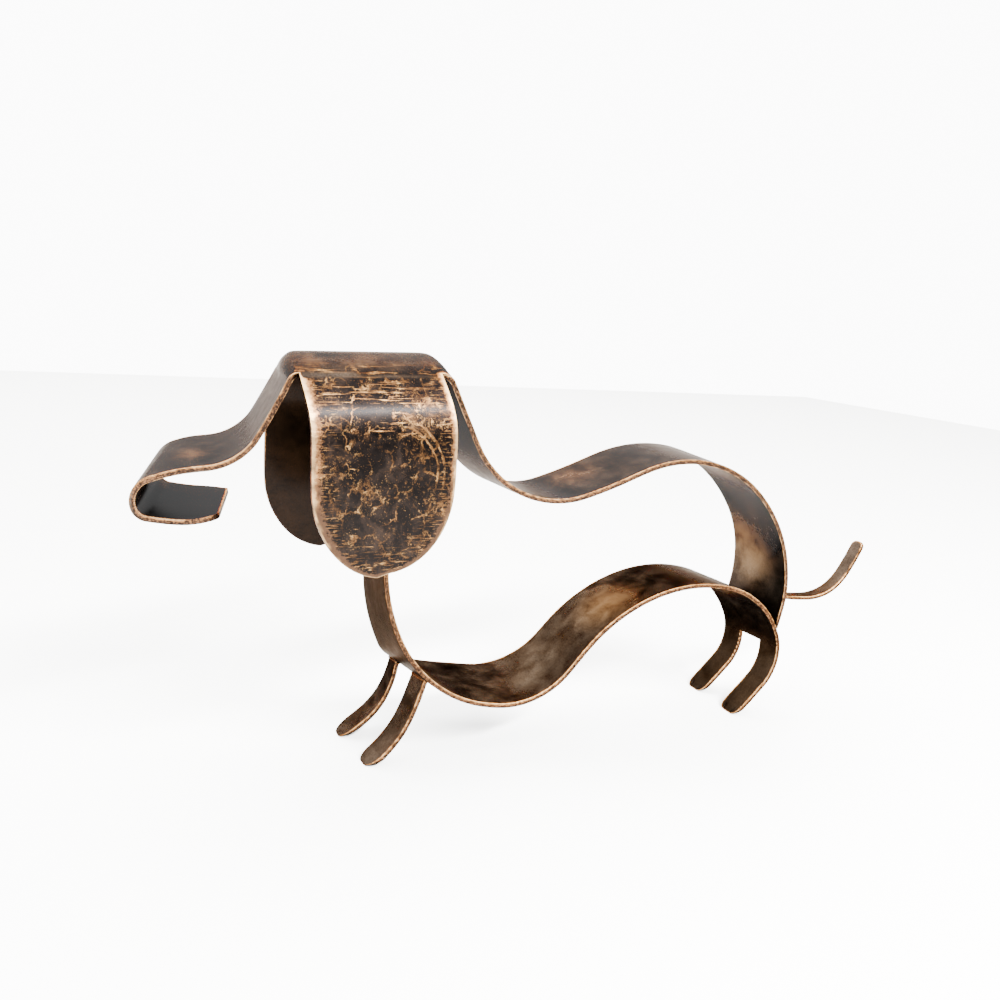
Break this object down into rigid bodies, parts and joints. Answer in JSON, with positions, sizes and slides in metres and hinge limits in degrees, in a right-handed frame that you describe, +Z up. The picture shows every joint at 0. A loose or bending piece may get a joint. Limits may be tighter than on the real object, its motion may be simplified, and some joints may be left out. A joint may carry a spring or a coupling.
{
  "type": "scrap metal dog sculpture",
  "caption": "Long low dog bent from flat metal strip, with drooping ears, a slotted pair of hind legs, welded front legs and a curled tail; stands on its feet.",
  "frame": {"origin": "middle of the bounding box, on the ground", "axes": "+X from the nose to the tail, +Y to the dog's right side, +Z up"},
  "size_m": [0.359, 0.0694, 0.1677],
  "materials": {
    "head_strip": "flat steel strip with a dark copper-brown patina, worn bright along its edges",
    "belly_strip": "flat steel strip with a warm brown patina, worn bright along its edges",
    "front_legs": "narrow steel strip with a grey-brown patina and worn corners",
    "tail": "narrow steel strip with a grey-brown patina"
  },
  "bodies": {
    "root": {"head_and_back": "head_strip", "belly_strip": "belly_strip", "front_left_leg": "front_legs", "front_right_leg": "front_legs", "tail": "tail"}
  },
  "joints": []
}
